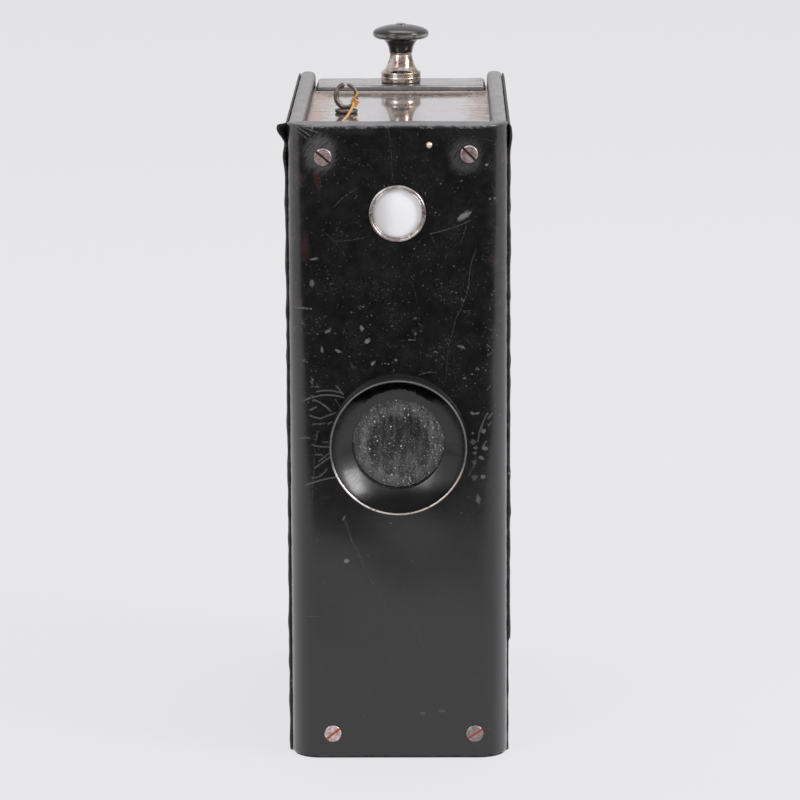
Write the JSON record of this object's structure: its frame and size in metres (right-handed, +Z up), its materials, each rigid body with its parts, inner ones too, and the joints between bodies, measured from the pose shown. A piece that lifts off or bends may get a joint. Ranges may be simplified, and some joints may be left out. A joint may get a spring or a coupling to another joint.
{
  "type": "book-shaped plate camera",
  "caption": "Book-shaped plate camera: lens and finder in the spine, push-pull rod that changes the plates, ring and thread that work the shutter, hinged fore-edge door.",
  "frame": {"origin": "centre of the camera's footprint, at the surface that it stands on", "axes": "+Z up along the spine, +X to the right seen from the spine, -Y the way the lens looks"},
  "size_m": [0.0514, 0.1108, 0.1602],
  "materials": {
    "black_wood": "ebonised hardwood, satin",
    "lacquered_wood": "black lacquer, glossy and rubbed at the edges",
    "smooth_leather": "thin black leather, smooth and glossy, finely crackled",
    "grained_leather": "grained black leather, worn brown at the edges",
    "black_enamel": "glossy black enamel over brass",
    "black_horn": "polished ebonite",
    "worn_nickel": "nickel plate, rubbed through to brass",
    "brass": "plain brass, lacquered",
    "dark_steel": "blued steel, dull",
    "spring_steel": "bright spring steel",
    "lens_glass": "polished glass, dusty",
    "ground_glass": "ground glass, white",
    "plate_glass": "glass plate with a pale coating",
    "waxed_thread": "twisted golden thread, waxed"
  },
  "bodies": {
    "case": {"spine_board": "black_wood", "spine_skin": "smooth_leather", "left_wall": "black_wood", "right_wall": "black_wood", "left_leather": "grained_leather", "right_leather": "grained_leather", "top_panel": "black_wood", "top_skin": "smooth_leather", "rod_plate": "lacquered_wood", "bottom_panel": "black_wood", "spine_screws": "worn_nickel", "brass_pin": "brass", "lens_hood": "black_enamel", "front_lens": "lens_glass", "rear_lens": "lens_glass", "lens_cell": "brass", "retaining_ring": "brass", "shutter_plate": "brass", "plate_pillars": "brass", "plate_screws": "dark_steel", "pivot_stud": "dark_steel", "return_spring": "spring_steel", "spring_post": "dark_steel", "finder_ring": "worn_nickel", "finder_lens": "lens_glass", "finder_tube": "black_enamel", "finder_screen": "ground_glass", "finder_partition": "black_wood", "aperture_plate": "black_enamel", "chamber_floor": "brass", "chamber_divider": "brass", "magazine_back": "brass", "lower_sheaths": "black_enamel", "lower_glass_plates": "plate_glass", "upper_sheaths": "black_enamel", "upper_glass_plates": "plate_glass", "lower_pressure_spring": "spring_steel", "upper_pressure_spring": "spring_steel", "stem_socket": "dark_steel", "rod_bush": "brass", "hinge_case_leaves": "brass", "hinge_pins": "dark_steel", "shutter_thread": "waxed_thread"},
    "shutter": {"shutter_sector": "dark_steel", "shutter_pulley": "brass"},
    "puller": {"pull_ring": "dark_steel", "thread_knot": "waxed_thread"},
    "changer": {"changing_rod": "worn_nickel", "knob_cap": "black_horn", "knob_ferrule": "worn_nickel", "rod_crosshead": "brass", "plate_carrier": "brass", "front_sheath": "black_enamel", "front_glass_plate": "plate_glass"},
    "lower_presser": {"lower_pressure_plate": "brass"},
    "upper_presser": {"upper_pressure_plate": "brass"},
    "door": {"rear_door": "grained_leather", "hinge_door_leaves": "brass", "door_catch": "brass"}
  },
  "joints": [
    {"name": "ring_pull", "type": "slide", "parent": "case", "child": "puller", "axis": [0, 0, 1], "range_m": [0, 0.02], "stiffness_N_per_m": 15, "springref_m": -0.005, "deforming": ["shutter_thread"]},
    {"name": "shutter_turn", "type": "hinge", "parent": "case", "child": "shutter", "pos_m": [0, -0.03913, 0.08815], "axis": [0, 1, 0], "range_deg": [0, 60], "deforming": ["return_spring"]},
    {"name": "rod_slide", "type": "slide", "parent": "case", "child": "changer", "axis": [0, 0, 1], "range_m": [0, 0.04325]},
    {"name": "door_hinge", "type": "hinge", "parent": "case", "child": "door", "pos_m": [-0.02115, 0.05452, 0.07375], "axis": [0, 0, 1], "range_deg": [0, 110]},
    {"name": "lower_press", "type": "slide", "parent": "case", "child": "lower_presser", "axis": [0, 1, 0], "range_m": [0, 0.00125], "stiffness_N_per_m": 100, "springref_m": -0.004, "deforming": ["lower_pressure_spring"]},
    {"name": "upper_press", "type": "slide", "parent": "case", "child": "upper_presser", "axis": [0, 1, 0], "range_m": [0, 0.00125], "stiffness_N_per_m": 100, "springref_m": -0.004, "deforming": ["upper_pressure_spring"]}
  ],
  "couplings": [
    {"joint": "shutter_turn", "follows": "ring_pull", "rad_per_m": 52.3}
  ]
}
